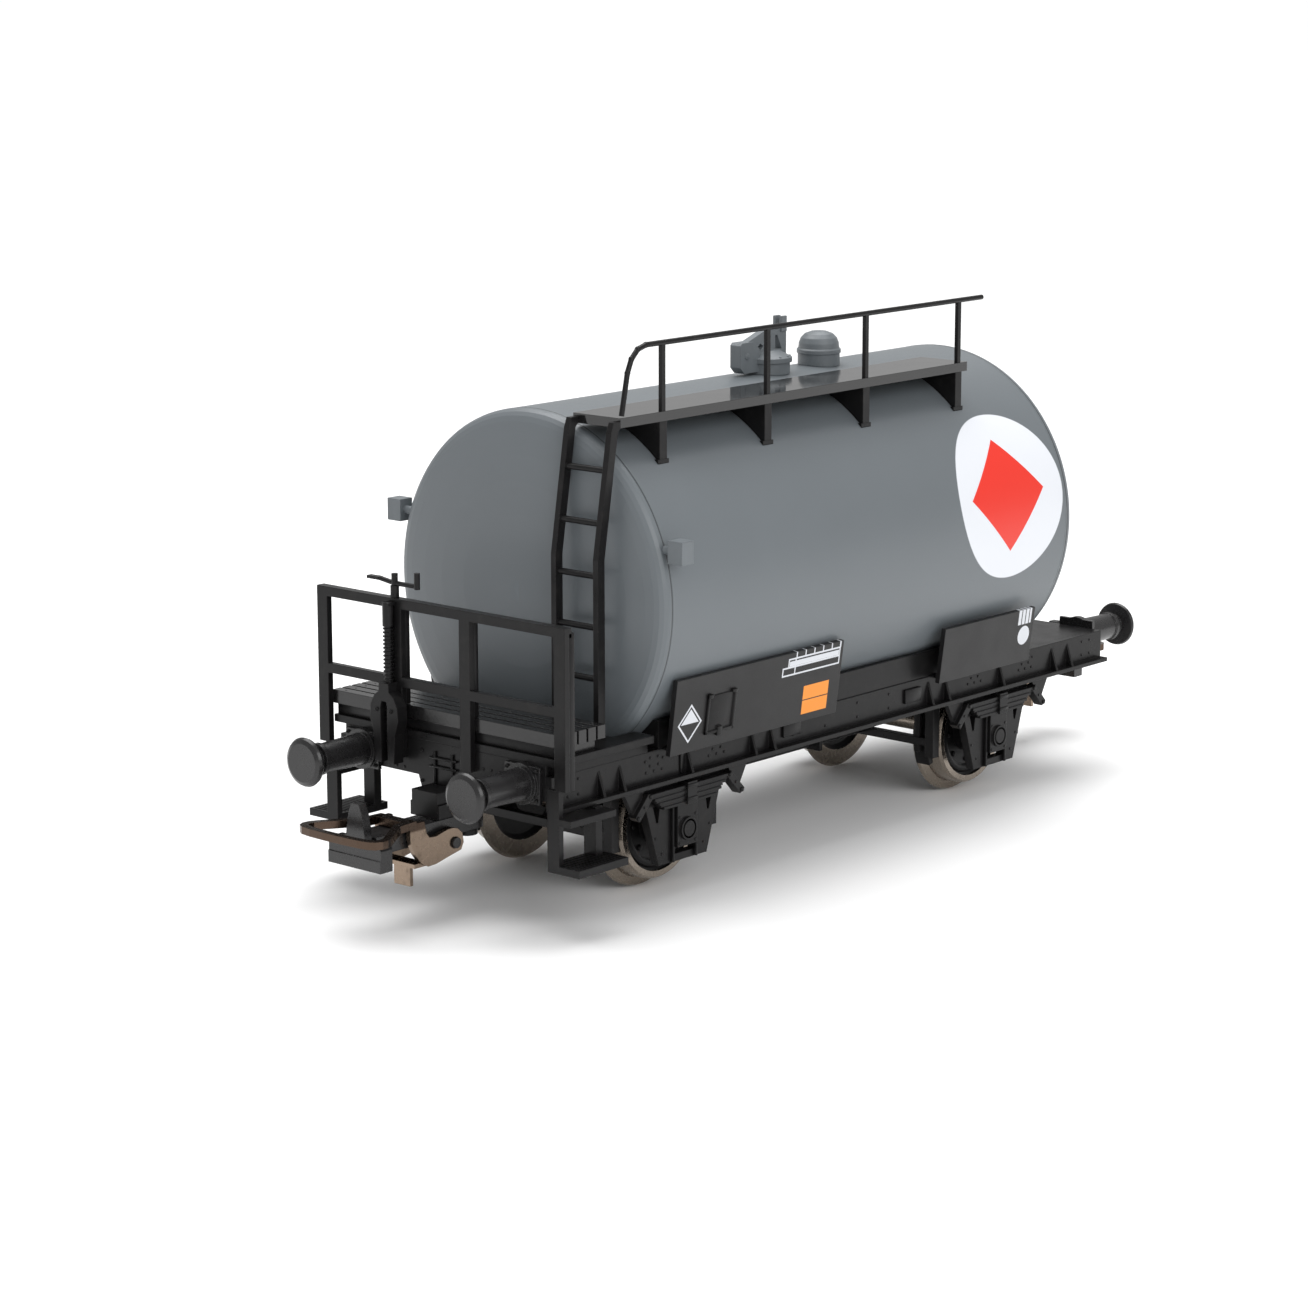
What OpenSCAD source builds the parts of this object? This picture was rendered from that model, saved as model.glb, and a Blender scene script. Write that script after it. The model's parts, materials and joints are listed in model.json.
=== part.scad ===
// Two-axle tank wagon, small model scale. X runs along the wagon with the brake platform
// at -X, -Y is the side with the ladder and walkway, Z is up. Z = 0 is under the flanges.

/* [Node] */
// node to draw

/* [Wagon] */
// frame length between the outer faces of the two headstocks
frame_l = 85.4; // [71:0.2:104]
// height of the top of the frame above the rail
frame_top = 13.6; // [11.3:0.1:16.4]
// width over the lower flanges of the sole bars
frame_w = 28.4; // [23.6:0.1:34]
// height of a sole bar
sole_h = 3.2; // [2.6:0.1:4]
// thickness of sheet and channel walls
wall = 0.7; // [0.6:0.05:0.85]

/* [Wheels] */
// distance between the two axles
wheelbase = 48.8; // [41:0.2:59]
// wheel diameter on the tread
tread_d = 10.9; // [9.1:0.1:12.6]
// height of the wheel flange
flange_h = 1.0; // [0.8:0.05:1.2]
// distance between the inner faces of the two tyres
back_gap = 14.3; // [12:0.1:17.2]
// width of a tyre
tyre_w = 2.8; // [2.3:0.05:3.3]
// diameter of the axle between the wheels
axle_d = 2.0; // [1.7:0.05:2.4]
// diameter of the journals at the axle ends
journal_d = 1.2; // [1:0.05:1.4]
// running clearance round a journal, on the radius
journal_gap = 0.05; // [0.03:0.01:0.08]

/* [Axle guards] */
// distance of the inner face of an axle guard from the flange edge of its sole bar
guard_in = 2.3; // [1.9:0.05:2.7]
// thickness of an axle guard plate
guard_t = 0.9; // [0.8:0.05:1.1]
// how far an axle box stands out of its guard
box_out = 0.85; // [0.6:0.05:1]
// length of the top leaf of a spring
spring_l = 11.2; // [9.4:0.1:12]
// thickness of one spring leaf
leaf_t = 0.25; // [0.21:0.01:0.28]

/* [Tank] */
// outer diameter of the tank
tank_d = 33.3; // [27.8:0.1:40]
// length of the tank barrel between the two end seams
tank_l = 61.4; // [51:0.2:74]
// how far the tank sits down between the sole bars
tank_sink = 3.05; // [2:0.05:4]
// offset of the tank middle from the frame middle
tank_x = 0.4; // [0:0.1:0.5]
// how far an end stands out of the barrel
dish = 2.3; // [1.9:0.1:2.7]
// height of the cradle above the frame
cradle_h = 2.6; // [2.2:0.1:3.1]

/* [Tank fittings] */
// middle of the manhole along the tank
hatch_x = 3.1; // [2.4:0.1:3.6]
// diameter of the manhole neck
hatch_d = 4.5; // [3.8:0.1:5.4]
// middle of the vent dome along the tank
vent_x = 11.2; // [10.2:0.1:13.4]
// diameter of the vent dome
vent_d = 4.4; // [3.7:0.1:5.2]

/* [Walkway] */
// height of the walkway surface above the top of the tank
walk_up = 0.25; // [0.2:0.05:3]
// thickness of the walkway board
walk_t = 0.9; // [0.75:0.05:1.1]
// width of the walkway board
walk_w = 5.7; // [4.8:0.1:6]
// distance of the outer walkway edge from the wagon middle
walk_y = 11.4; // [10.8:0.1:13.5]
// length of the walkway board
walk_l = 51.9; // [45:0.1:56]
// distance between two handrail posts
post_pitch = 14.9; // [12.6:0.1:16.4]
// height of the handrail above the walkway
rail_h = 6.2; // [5.2:0.1:7.4]
// diameter of the handrail
rail_d = 0.5; // [0.45:0.05:0.6]

/* [Ladder] */
// distance between the outer faces of the ladder sides
ladder_w = 5.7; // [4.8:0.1:6]
// distance between two rungs
rung_pitch = 4.7; // [4:0.1:5.4]
// diameter of a rung
rung_d = 0.6; // [0.5:0.05:0.7]

/* [Platform] */
// height of the plank surface above the rail
plank_top = 17.6; // [17.3:0.1:20]
// thickness of a plank
plank_t = 1.25; // [1.05:0.05:1.5]
// width of a plank
plank_w = 1.0; // [0.85:0.05:1.2]
// gap between two planks
plank_gap = 0.25; // [0.2:0.01:0.3]
// length of a plank across the wagon
plank_l = 28.6; // [26:0.2:34]
// height of the top of the end railing above the rail
railing_top = 27.4; // [24:0.1:33]
// how far a corner post of the end railing stands out past the sole bar
railing_out = 1.3; // [1.1:0.05:1.5]
// height of the top of the end plate above the rail
plate_top = 15.3; // [14.8:0.1:16]
// thickness of the end plate
plate_t = 0.7; // [0.6:0.05:0.85]

/* [Buffers and couplers] */
// how far a buffer face stands out of its headstock
buffer_l = 8.05; // [6.7:0.05:9.7]
// height of the buffers above the rail
buffer_h = 12.7; // [12:0.1:13.1]
// distance between the two buffers of one end
buffer_gap = 20.2; // [17:0.1:23]
// diameter of a buffer head
buffer_d = 4.6; // [3.9:0.1:5.4]
// height of the coupler shank middle above the rail
coupler_z = 7.3; // [7:0.1:7.9]
// diameter of the pin a coupler swings on
pin_d = 1.2; // [1:0.05:1.4]
// running clearance round a coupler pin, on the radius
pin_gap = 0.05; // [0.03:0.01:0.08]
// width of the coupler loop
loop_w = 10.2; // [8.6:0.1:11.6]
// thickness of the coupler loop
wire_d = 0.7; // [0.6:0.05:0.8]

/* [Boards] */
// length of the large number board
board_l = 24.2; // [20:0.1:26]
// height of the large number board
board_h = 7.2; // [6:0.1:8.6]
// length of the small number board
small_l = 15.2; // [12.8:0.1:17]
// height of the small number board
small_h = 5.6; // [4.7:0.1:6.6]
// lean of the boards away from the tank
board_lean = 7.5; // [6.5:0.1:9]

/* [Hidden] */
$fn = 48;
rail = flange_h;
seat = 0.02;
front_x = -frame_l / 2;
top_z = rail + frame_top;
bot_z = top_z - sole_h;
side_y = frame_w / 2;
web_y = side_y - 0.9;
axle_x = wheelbase / 2;
axle_z = rail + tread_d / 2;
tread_r = tread_d / 2;
tank_r = tank_d / 2;
tank_cz = top_z + tank_r - tank_sink;
tank_x0 = tank_x - tank_l / 2;
tank_x1 = tank_x + tank_l / 2;
guard_y = side_y - guard_in;
walk_z = tank_cz + tank_r + walk_up;
walk_x0 = tank_x0 - 1.0;
walk_x1 = walk_x0 + walk_l;
deck_z = rail + plank_top;
deck_x0 = front_x;
ladder_x = tank_x0 - dish - 0.9;
planks = max(1, floor((ladder_x - 2.5 - deck_x0) / (plank_w + plank_gap)));
deck_x1 = deck_x0 + planks * (plank_w + plank_gap) - plank_gap;
plate_z = rail + plate_top;
railing_x0 = front_x - 0.6;
railing_w = frame_w + 2 * railing_out;
buf_z = rail + buffer_h;
brake_y = 5.75;
shank_z = rail + coupler_z;
pivot_x = frame_l / 2 - 2.9;
head_x = pivot_x + 12.8;
eye_x = pivot_x + 3.8;
eye_z = shank_z - 1.3;

module tank_body(x0, x1, gap) {
  translate([x0, 0, tank_cz])
    rotate([0, 90, 0]) cylinder(r = tank_r + gap, h = x1 - x0, $fn = 96);
}

module above(z) {
  translate([-80, -30, z]) cube([160, 60, 60]);
}

module tank_shell() {
  color("dimgray") intersection() {
    tank_body(tank_x0, tank_x1, 0);
    above(top_z);
  }
}

module tank_end(x) {
  intersection() {
    translate([x, 0, tank_cz]) rotate([0, 90, 0]) rotate_extrude($fn = 96) polygon([
      [0, 0], [tank_r, 0], [tank_r, 0.2], [tank_r - 0.07, 0.5], [tank_r - 0.28, 0.82],
      [tank_r - 0.62, 1.08], [tank_r - 1.1, 1.27], [tank_r - 2, 1.45], [tank_r - 4, dish - 0.56],
      [tank_r - 6.5, dish - 0.3], [tank_r - 9.5, dish - 0.12], [0, dish]]);
    above(top_z);
  }
}

module tank_end_rear() {
  color("dimgray") tank_end(tank_x1);
}

module tank_end_front() {
  color("dimgray") translate([2 * tank_x, 0, 0]) mirror([1, 0, 0]) tank_end(tank_x1);
}

module manhole_hatch() {
  z0 = tank_cz + tank_r - 0.35;
  x0 = hatch_x - hatch_d / 2;
  x1 = hatch_x + hatch_d / 2;
  color("dimgray") difference() {
    union() {
      translate([hatch_x, 0, z0]) cylinder(d = hatch_d, h = 1.5);
      translate([hatch_x, 0, z0 + 1.4]) rotate_extrude() polygon([
        [0, 0], [hatch_d / 2 + 0.2, 0], [hatch_d / 2 + 0.2, 0.45], [hatch_d / 2 - 0.2, 0.65],
        [hatch_d / 4, 1.15], [0, 1.3]]);
      translate([x0 - 2.6, 0.65, z0 + 0.9]) rotate([90, 0, 0]) linear_extrude(1.3) polygon([
        [0.6, -0.3], [2.9, -0.3], [2.9, 1.9], [2.0, 2.7], [0.25, 2.7], [0, 2.45], [0, 0.3]]);
      translate([0, 0.4, z0]) rotate([90, 0, 0]) linear_extrude(0.8) difference() {
        polygon([[x0 - 1.2, 1.6], [x0 - 1.2, 3.6], [x0 + 1.1, 4.4], [x0 + 2.9, 4.7],
          [x1 - 1.0, 4.5], [x1 + 0.2, 4.5], [x1 + 0.2, 1.6]]);
        polygon([[x0 + 0.2, 2.2], [x0 + 0.2, 2.9], [x0 + 0.7, 3.3], [x0 + 1.2, 3.0]]);
        polygon([[x1 - 1.5, 2.6], [x1 - 1.5, 3.9], [x1 - 1.2, 3.9], [x1 - 0.5, 2.5]]);
      }
      for (y = [-0.55, 0.25]) {
        translate([x1 - 0.7, y, z0 + 4.2]) cube([0.8, 0.3, 1.5]);
      }
    }
    tank_body(tank_x0, tank_x1, seat);
  }
}

module vent_dome() {
  z0 = tank_cz + tank_r - 0.35;
  r = vent_d / 2;
  color("dimgray") difference() {
    translate([vent_x, 0, z0]) rotate_extrude() polygon([
      [0, 0], [r - 0.1, 0], [r - 0.1, 1.45], [r, 1.5], [r, 1.85], [r - 0.15, 2.0],
      [r - 0.2, 2.5], [r - 0.4, 3.0], [r - 0.8, 3.4], [r - 1.4, 3.62], [0, 3.7]]);
    tank_body(tank_x0, tank_x1, seat);
  }
}

module lamp_bracket(x) {
  z = tank_cz + 0.325 * tank_r;
  y = tank_r * 0.946;
  translate([x, y + seat, z]) rotate([-90, 0, 0]) cylinder(d = 0.8, h = 1.2);
  translate([x - 0.8, y + 1.0, z - 1.05]) cube([1.6, 1.7, 2.1]);
}

module lamp_brackets() {
  color("dimgray") {
    lamp_bracket(tank_x0);
    mirror([0, 1, 0]) lamp_bracket(tank_x0);
  }
}

module tank_cradle() {
  color("black") difference() {
    translate([tank_x0 + 2, -side_y + 1, top_z])
      cube([tank_l - 4, frame_w - 2, cradle_h]);
    tank_body(tank_x0, tank_x1, seat);
    translate([tank_x0, -9, top_z - 1]) cube([tank_l, 18, cradle_h + 2]);
  }
}

module walkway_deck() {
  color("black") translate([walk_x0, -walk_y, walk_z - walk_t])
    cube([walk_l, walk_w, walk_t]);
}

module walkway_brackets() {
  z1 = walk_z - walk_t;
  color("black") for (i = [0:3]) {
    x = walk_x0 + 5.8 + i * post_pitch;
    difference() {
      union() {
        translate([x - 0.5, -walk_y, tank_cz]) cube([1.0, walk_w - 0.3, z1 - tank_cz]);
        translate([x - 0.75, -walk_y - 0.02, tank_cz]) cube([1.5, 0.8, tank_r * 0.73 + 0.4]);
      }
      tank_body(tank_x0, tank_x1, seat);
    }
  }
}

module rod(a, b, d) {
  v = b - a;
  l = norm(v);
  translate(a) rotate([0, acos(v[2] / l), atan2(v[1], v[0])]) cylinder(d = d, h = l, $fn = 24);
}

module ball(a, d) {
  translate(a) sphere(d = d, $fn = 24);
}

module walkway_handrail() {
  y = -walk_y + rail_d / 2;
  zr = walk_z + rail_h;
  xa = walk_x0 + 3.1;
  bend = [[walk_x0 + 0.4, walk_z + 0.12], [xa - 1.9, zr - 2.3], [xa - 1.35, zr - 1.1],
    [xa - 0.5, zr - 0.3], [xa + 0.6, zr]];
  color("black") {
    rod([xa + 0.6, y, zr], [walk_x1 + 2.6, y, zr], rail_d);
    for (i = [0:3]) {
      rod([bend[i][0], y, bend[i][1]], [bend[i + 1][0], y, bend[i + 1][1]], rail_d);
      ball([bend[i + 1][0], y, bend[i + 1][1]], rail_d + 0.06);
    }
    for (i = [0:3]) {
      x = walk_x0 + 5.9 + i * post_pitch;
      translate([x - 0.25, y - 0.2, walk_z]) cube([0.5, 0.4, rail_h]);
    }
  }
}

module ladder() {
  zb = walk_z - walk_t - 11.6;
  xb = ladder_x;
  zt = walk_z - walk_t;
  xt = walk_x0;
  foot = plate_z;
  color("black") {
    for (y = [-walk_y, -walk_y + ladder_w - 0.6]) {
      translate([xb - 0.9, y, foot]) cube([0.9, 0.6, zb - foot]);
      translate([0, y + 0.6, 0]) rotate([90, 0, 0]) linear_extrude(0.6) polygon([
        [xb - 0.9, zb], [xb, zb], [xt - 0.35, zt - 0.3], [xt, zt], [xt, zt + 0.6],
        [xt - 0.9, zt + 0.6], [xt - 1.25, zt - 0.3]]);
    }
    for (i = [0:3]) {
      translate([xb - 0.45, -walk_y + 0.3, zb - 1.5 - i * rung_pitch])
        rotate([-90, 0, 0]) cylinder(d = rung_d, h = ladder_w - 0.6, $fn = 24);
    }
    for (i = [0:1]) {
      k = (3.2 + i * rung_pitch) / (zt - zb);
      translate([xb - 0.45 + k * (xt - 0.35 - xb), -walk_y + 0.3, zb + k * (zt - zb)])
        rotate([-90, 0, 0]) cylinder(d = rung_d, h = ladder_w - 0.6, $fn = 24);
    }
  }
}

module frame_floor() {
  color("black") difference() {
    translate([front_x + wall, -web_y + wall, top_z - wall])
      cube([frame_l - 2 * wall, 2 * (web_y - wall), wall]);
    for (x = [-axle_x, axle_x]) {
      translate([x - tread_r - 1, -back_gap / 2 - tyre_w - 0.8, top_z - 2])
        cube([tread_d + 2, tyre_w + 1.6, 3]);
      translate([x - tread_r - 1, back_gap / 2 - 0.8, top_z - 2])
        cube([tread_d + 2, tyre_w + 1.6, 3]);
    }
  }
}

module rib(x) {
  translate([x - 0.15, 0, 0]) rotate([90, 0, 90]) linear_extrude(0.3) polygon([
    [-web_y, bot_z + 0.4], [-side_y + 0.1, bot_z + 0.4], [-web_y, top_z - 0.5]]);
}

module sole_bar() {
  translate([front_x, -web_y, bot_z]) cube([frame_l, wall, sole_h]);
  translate([front_x, -side_y, bot_z]) cube([frame_l, side_y - web_y + wall, 0.4]);
  for (x = [-35.1, -13.8, 13.8, 35.1]) {
    rib(x - 1.4);
    rib(x + 1.4);
  }
  rib(-axle_x);
  rib(axle_x);
}

module sole_bar_right() {
  color("black") sole_bar();
}

module sole_bar_left() {
  color("black") mirror([0, 1, 0]) sole_bar();
}

module headstock(x, z) {
  y = web_y - wall;
  translate([x, 0, 0]) rotate([90, 0, 90]) linear_extrude(wall) polygon([
    [-y, bot_z + 0.9], [-3.2, bot_z + 0.9], [-2.6, bot_z - 0.8], [2.6, bot_z - 0.8],
    [3.2, bot_z + 0.9], [y, bot_z + 0.9], [y, z], [-y, z]]);
}

module headstock_front() {
  color("black") headstock(front_x, plate_z - plate_t);
}

module headstock_rear() {
  color("black") headstock(-front_x - wall, top_z);
}

module platform_deck() {
  color("black") {
    for (i = [0:planks - 1]) {
      translate([deck_x0 + i * (plank_w + plank_gap), -plank_l / 2, deck_z - plank_t])
        cube([plank_w, plank_l, plank_t]);
    }
    for (y = [-13.4, -4.6, 4.0, 12.8]) {
      translate([deck_x0 + 0.5, y, plate_z])
        cube([deck_x1 - deck_x0 - 0.9, 0.6, deck_z - plank_t - plate_z]);
    }
  }
}

module end_plate() {
  x1 = tank_x0 + 0.4;
  color("black") difference() {
    union() {
      translate([front_x, -side_y + 0.1, plate_z - plate_t])
        cube([x1 - front_x, frame_w - 0.2, plate_t]);
      translate([front_x + wall, -web_y, top_z])
        cube([x1 - front_x - wall, 2 * web_y, plate_z - plate_t - top_z]);
    }
    tank_body(tank_x0 - dish - 0.2, tank_x1, 0.05);
  }
}

module end_railing() {
  z1 = rail + railing_top;
  color("black") {
    for (y = [-railing_w / 2, -4.0, 4.6, railing_w / 2 - 1.3]) {
      translate([railing_x0, y, buf_z]) cube([0.6, 1.3, z1 - buf_z]);
    }
    translate([railing_x0, -railing_w / 2, z1 - 0.9]) cube([0.9, railing_w, 0.9]);
    translate([railing_x0, -railing_w / 2, z1 - 8.1]) cube([0.6, railing_w, 0.9]);
  }
}

module brake_column() {
  x = railing_x0 - 0.5;
  color("black") {
    translate([x, brake_y, rail + 18.8]) cylinder(d = 0.7, h = 6.5);
    translate([x, brake_y, rail + 24.9]) cylinder(d = 1.0, h = 2.2);
    translate([railing_x0 + 0.45, brake_y, rail + railing_top]) cylinder(d = 0.8, h = 1.1);
    translate([x - 0.7, brake_y, rail]) rotate([90, 0, 90]) linear_extrude(1.2) polygon([
      [-1.2, 12.3], [-1.35, 15], [-1.8, 16.3], [-1.7, 17.6], [-1.2, 18.5], [-0.65, 18.9],
      [-0.6, 19.7], [0.6, 19.7], [0.65, 18.9], [1.2, 18.5], [1.7, 17.6], [1.8, 16.3],
      [1.35, 15], [1.2, 12.3], [0.4, 12.3], [0.45, 17.4], [0.3, 18], [-0.3, 18],
      [-0.45, 17.4], [-0.4, 12.3]]);
  }
}

module brake_crank() {
  x = railing_x0 + 0.45;
  z = rail + railing_top + 1.12;
  color("black") {
    translate([x, brake_y, z]) cylinder(d = 0.6, h = 1.1);
    rod([x, brake_y + 0.1, z + 0.2], [x, brake_y + 2.0, z + 0.45], 0.45);
    translate([x - 0.3, brake_y + 1.8, z + 0.3]) cube([0.6, 1.5, 0.28]);
    rod([x, brake_y - 0.1, z + 0.2], [x, brake_y - 2.7, z + 0.2], 0.45);
    translate([x, brake_y - 2.85, z - 0.05]) cylinder(d = 0.55, h = 1.5);
  }
}

module steps() {
  y = -side_y - 0.5;
  color("black") {
    translate([railing_x0, y, rail + 5.2]) cube([0.58, 1.4, buf_z - rail - 5.2]);
    translate([railing_x0 + 4.8, y, rail + 5.2]) cube([0.9, 1.4, bot_z - rail - 5.2]);
    translate([railing_x0, y - 2.4, rail + 5.2]) cube([6.5, 3.8, 0.7]);
    translate([railing_x0, y - 1.4, rail + 9.6]) cube([6.0, 2.6, 0.6]);
  }
}

module steps_right() {
  steps();
}

module steps_left() {
  mirror([0, 1, 0]) steps();
}

module axle_guard(x) {
  zt = bot_z;
  zb = rail + 2.4;
  difference() {
    union() {
      translate([x, -guard_y, 0]) rotate([90, 0, 0]) linear_extrude(guard_t) difference() {
        polygon([[-5.9, zt], [-3.4, zb], [3.4, zb], [5.9, zt]]);
        polygon([[-4.2, zt - 2.3], [-3.7, zt - 3.9], [-3.45, zt - 3.9], [-3.2, zt - 2.3]]);
        polygon([[4.2, zt - 2.3], [3.7, zt - 3.9], [3.45, zt - 3.9], [3.2, zt - 2.3]]);
        polygon([[-1.7, zb + 0.7], [-1.7, zb + 1.3], [1.7, zb + 1.3], [1.7, zb + 0.7]]);
      }
      translate([x - 5.9, -guard_y - 0.6, zt]) cube([11.8, 0.6, top_z - wall - zt]);
      translate([x - 1.4, -guard_y - guard_t - box_out + 0.25, axle_z - 1.6])
        cube([2.8, box_out + 0.4, 4]);
      translate([x, -guard_y - guard_t - box_out, axle_z]) rotate([-90, 0, 0])
        cylinder(r = 1.1, h = box_out + 0.4);
    }
    translate([x, -guard_y - 1.35, axle_z]) rotate([-90, 0, 0])
      cylinder(d = journal_d + 2 * journal_gap, h = 3);
  }
}

module axle_guards_right() {
  color("black") {
    axle_guard(-axle_x);
    axle_guard(axle_x);
  }
}

module axle_guards_left() {
  color("black") mirror([0, 1, 0]) {
    axle_guard(-axle_x);
    axle_guard(axle_x);
  }
}

module leaf_spring(x) {
  y = -guard_y - guard_t;
  e = spring_l / 2;
  for (i = [0:6]) {
    l = spring_l - i * 0.62;
    d = i % 2 == 0 ? 1.0 : 0.9;
    translate([x - l / 2, y - d, bot_z - 0.7 - (i + 1) * leaf_t]) cube([l, d, leaf_t]);
  }
  translate([x - 0.65, y - 1.2, bot_z - 2.5]) cube([1.3, 1.2, 2.1]);
  translate([x, y, bot_z]) rotate([90, 0, 0]) {
    for (s = [-1, 1]) {
      linear_extrude(0.5) polygon([[s * (e + 0.2), 0], [s * (e + 3.2), 0], [s * (e + 1.9), -2.3],
        [s * (e + 1.2), -2.3]]);
      linear_extrude(1.0) polygon([[s * (e - 0.35), -1.0], [s * (e + 0.25), -0.55],
        [s * (e + 2.1), -2.5], [s * (e + 1.5), -2.95]]);
    }
  }
}

module leaf_springs_right() {
  color("black") {
    leaf_spring(-axle_x);
    leaf_spring(axle_x);
  }
}

module leaf_springs_left() {
  color("black") mirror([0, 1, 0]) {
    leaf_spring(-axle_x);
    leaf_spring(axle_x);
  }
}

// distance of a board's foot from the wagon middle, far enough out to clear the tank
function board_y(h) = max(side_y + 0.25, 0.1 - h * sin(board_lean)
  + sqrt(max(0, tank_r * tank_r - pow(tank_cz - top_z + 0.35 - h * cos(board_lean), 2))));

module board(x, l, h) {
  y = board_y(h);
  translate([x, -y, top_z - 0.35]) rotate([board_lean, 0, 0])
    translate([0, -0.5, 0]) cube([l, 0.5, h]);
  for (k = [x + 1.5, x + l / 2 - 0.4, x + l - 2.3]) {
    translate([k, -y - 0.25, top_z - 0.35]) cube([0.8, y + 0.25 - web_y, 0.35]);
  }
}

module number_boards() {
  board(-28.7, board_l, board_h);
  board(12.0, small_l, small_h);
}

module number_boards_right() {
  color("black") number_boards();
}

module number_boards_left() {
  color("black") mirror([0, 1, 0]) number_boards();
}

module buffer(y) {
  translate([front_x - buffer_l, y, buf_z]) rotate([0, 90, 0]) rotate_extrude() polygon([
    [0, 0], [buffer_d / 2 - 0.5, 0], [buffer_d / 2 - 0.15, 0.2], [buffer_d / 2, 0.45],
    [buffer_d / 2 - 0.1, 0.7], [1.1, 1.0], [1.1, 1.8], [1.5, 1.8], [1.5, 2.3],
    [1.35, 2.4], [1.5, buffer_l - 0.7], [1.9, buffer_l - 0.7], [1.9, buffer_l], [0, buffer_l]]);
  translate([front_x - 0.4, y - 2.1, buf_z - 1.7]) cube([0.4, 4.2, 3.4]);
}

module buffers_front() {
  color("black") {
    buffer(-buffer_gap / 2);
    buffer(buffer_gap / 2);
  }
}

module buffers_rear() {
  color("black") mirror([1, 0, 0]) {
    buffer(-buffer_gap / 2);
    buffer(buffer_gap / 2);
  }
}

module brake_gear(x, s) {
  for (y = [-10.6, 9.6]) {
    translate([x + s * 6.9 - 0.5, y, axle_z - 1.5]) cube([1.0, 1.0, top_z - wall - axle_z + 1.5]);
  }
  translate([x + s * 6.9 - 0.4, -9.7, axle_z - 0.4]) cube([0.8, 19.4, 0.8]);
}

module brake_gear_front() {
  color("black") {
    brake_gear(-axle_x, -1);
    brake_gear(-axle_x, 1);
  }
}

module brake_gear_rear() {
  color("black") {
    brake_gear(axle_x, -1);
    brake_gear(axle_x, 1);
  }
}

module air_reservoir() {
  color("black") {
    translate([-5, 3, bot_z - 0.6]) rotate([0, 90, 0]) cylinder(d = 4.4, h = 13);
    for (x = [-3, 5]) {
      translate([x, 2.6, bot_z]) cube([0.8, 0.8, top_z - wall - bot_z]);
    }
  }
}

module coupler_pocket() {
  z0 = shank_z + 1.0;
  z1 = bot_z - 0.8;
  color("black") {
    translate([pivot_x - 2.4, -1.8, z0]) cube([7.8, 3.6, z1 - z0]);
    translate([frame_l / 2 + 0.02, -1.6, z0]) cube([pivot_x + 5.4 - frame_l / 2, 3.2, z1 - z0 + 1.1]);
    translate([pivot_x, 0, shank_z - 1.6]) cylinder(d = pin_d, h = z0 - shank_z + 2, $fn = 32);
    translate([pivot_x, 0, shank_z - 1.6]) cylinder(d = pin_d + 0.8, h = 0.5, $fn = 32);
  }
}

module coupler_pocket_rear() {
  coupler_pocket();
}

module coupler_pocket_front() {
  mirror([1, 0, 0]) coupler_pocket();
}

module coupler() {
  color("black") difference() {
    union() {
      translate([pivot_x, 0, shank_z - 0.85]) cylinder(r = 1.5, h = 1.7);
      translate([pivot_x, -1.5, shank_z - 0.85]) cube([head_x + 0.2 - pivot_x, 3, 1.7]);
      translate([head_x, -3.3, shank_z - 1.9]) cube([1.5, 6.6, 1.1]);
      translate([head_x, 0, shank_z - 0.8]) rotate([90, 0, 90]) linear_extrude(1.4) polygon([
        [-3.3, 0], [3.3, 0], [3.3, 0.9], [3.0, 1.35], [-3.0, 1.35], [-3.3, 0.9]]);
      translate([head_x + 0.4, 0, shank_z]) rotate([90, 0, 90]) linear_extrude(0.9) polygon([
        [-1.25, 0.4], [1.25, 0.4], [1.1, 1.6], [0.8, 3.1], [0.45, 3.9], [-0.45, 3.9],
        [-0.8, 3.1], [-1.1, 1.6]]);
      translate([eye_x - 1, -1.5, eye_z - 0.9]) cube([3.0, 3, 1.4]);
      translate([eye_x, 0, eye_z]) rotate([90, 0, 0]) cylinder(d = 1.0, h = 5, center = true, $fn = 32);
    }
    translate([pivot_x, 0, shank_z - 3]) cylinder(d = pin_d + 2 * pin_gap, h = 6, $fn = 32);
  }
}

module coupler_rear() {
  coupler();
}

module coupler_front() {
  mirror([1, 0, 0]) coupler();
}

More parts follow.
